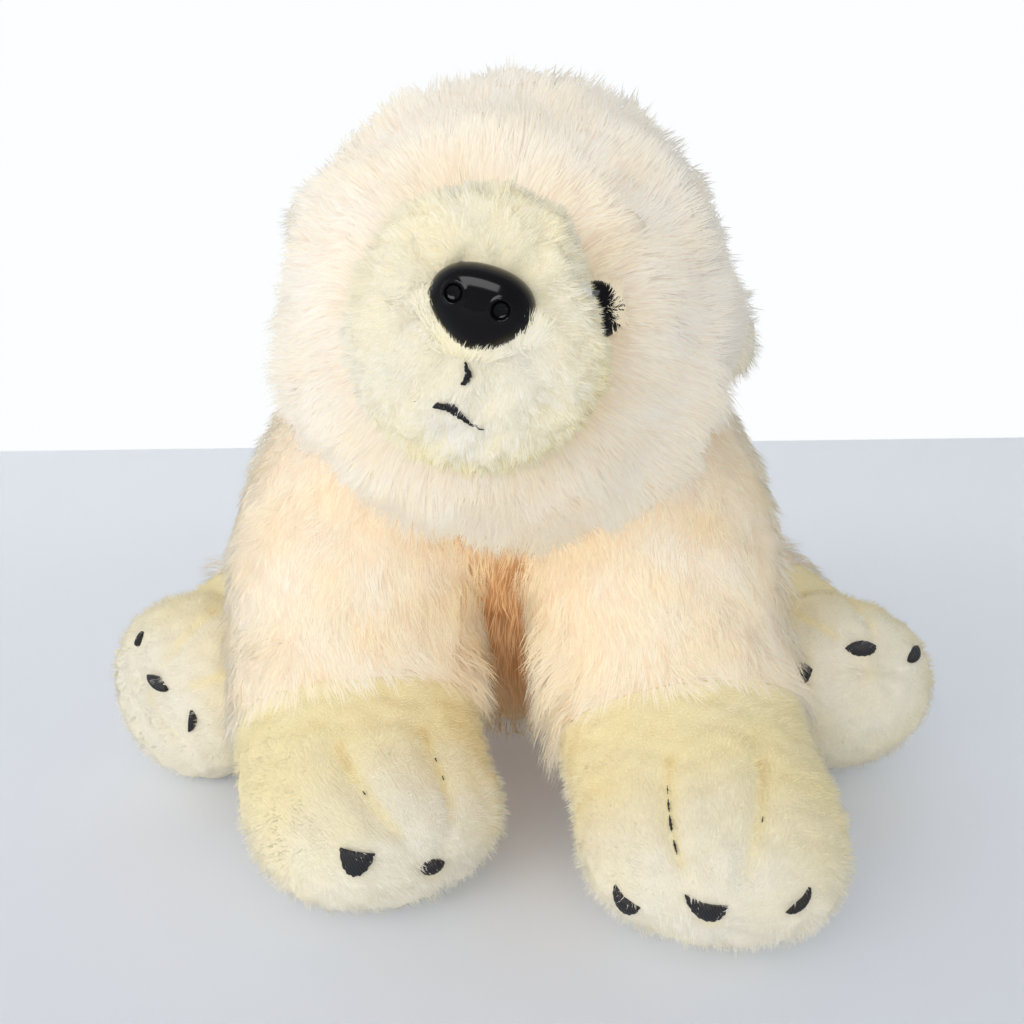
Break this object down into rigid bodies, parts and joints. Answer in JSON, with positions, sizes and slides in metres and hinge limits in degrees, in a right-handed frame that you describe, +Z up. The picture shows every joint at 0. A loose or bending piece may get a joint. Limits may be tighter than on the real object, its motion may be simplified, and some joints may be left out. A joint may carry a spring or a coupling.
{
  "type": "plush polar bear",
  "caption": "Sitting plush polar bear with shaggy head, body and legs, a short-pile muzzle and paws, a glossy nose and eyes, and embroidered mouth and claws.",
  "frame": {"origin": "middle of the bounding box, at floor level", "axes": "+Z up; the bear's chest faces -Y; +X is on the right of someone who looks at its face"},
  "size_m": [0.2358, 0.211, 0.187],
  "materials": {
    "long_pile": "long shaggy pile, cream",
    "short_pile": "short dense pile, yellowish cream",
    "gloss_plastic": "polished black",
    "thread": "black satin stitch",
    "washer_plastic": "moulded white",
    "filling": "loose white fibre"
  },
  "bodies": {
    "root": {"body_skin": "long_pile", "head_skin": "long_pile", "right_front_sleeve": "long_pile", "left_front_sleeve": "long_pile", "right_hind_sleeve": "long_pile", "left_hind_sleeve": "long_pile", "muzzle_skin": "short_pile", "left_ear": "short_pile", "right_ear": "short_pile", "right_front_paw": "short_pile", "left_front_paw": "short_pile", "right_hind_paw": "short_pile", "left_hind_paw": "short_pile", "nose": "gloss_plastic", "left_eye": "gloss_plastic", "right_eye": "gloss_plastic", "philtrum_stitch": "thread", "mouth_stitch": "thread", "right_front_inner_claw": "thread", "right_front_middle_claw": "thread", "right_front_outer_claw": "thread", "left_front_inner_claw": "thread", "left_front_middle_claw": "thread", "left_front_outer_claw": "thread", "right_hind_inner_claw": "thread", "right_hind_middle_claw": "thread", "right_hind_outer_claw": "thread", "left_hind_inner_claw": "thread", "left_hind_middle_claw": "thread", "left_hind_outer_claw": "thread", "nose_washer": "washer_plastic", "left_eye_washer": "washer_plastic", "right_eye_washer": "washer_plastic", "body_filling": "filling", "head_filling": "filling", "right_front_filling": "filling", "left_front_filling": "filling", "right_hind_filling": "filling", "left_hind_filling": "filling"}
  },
  "joints": []
}
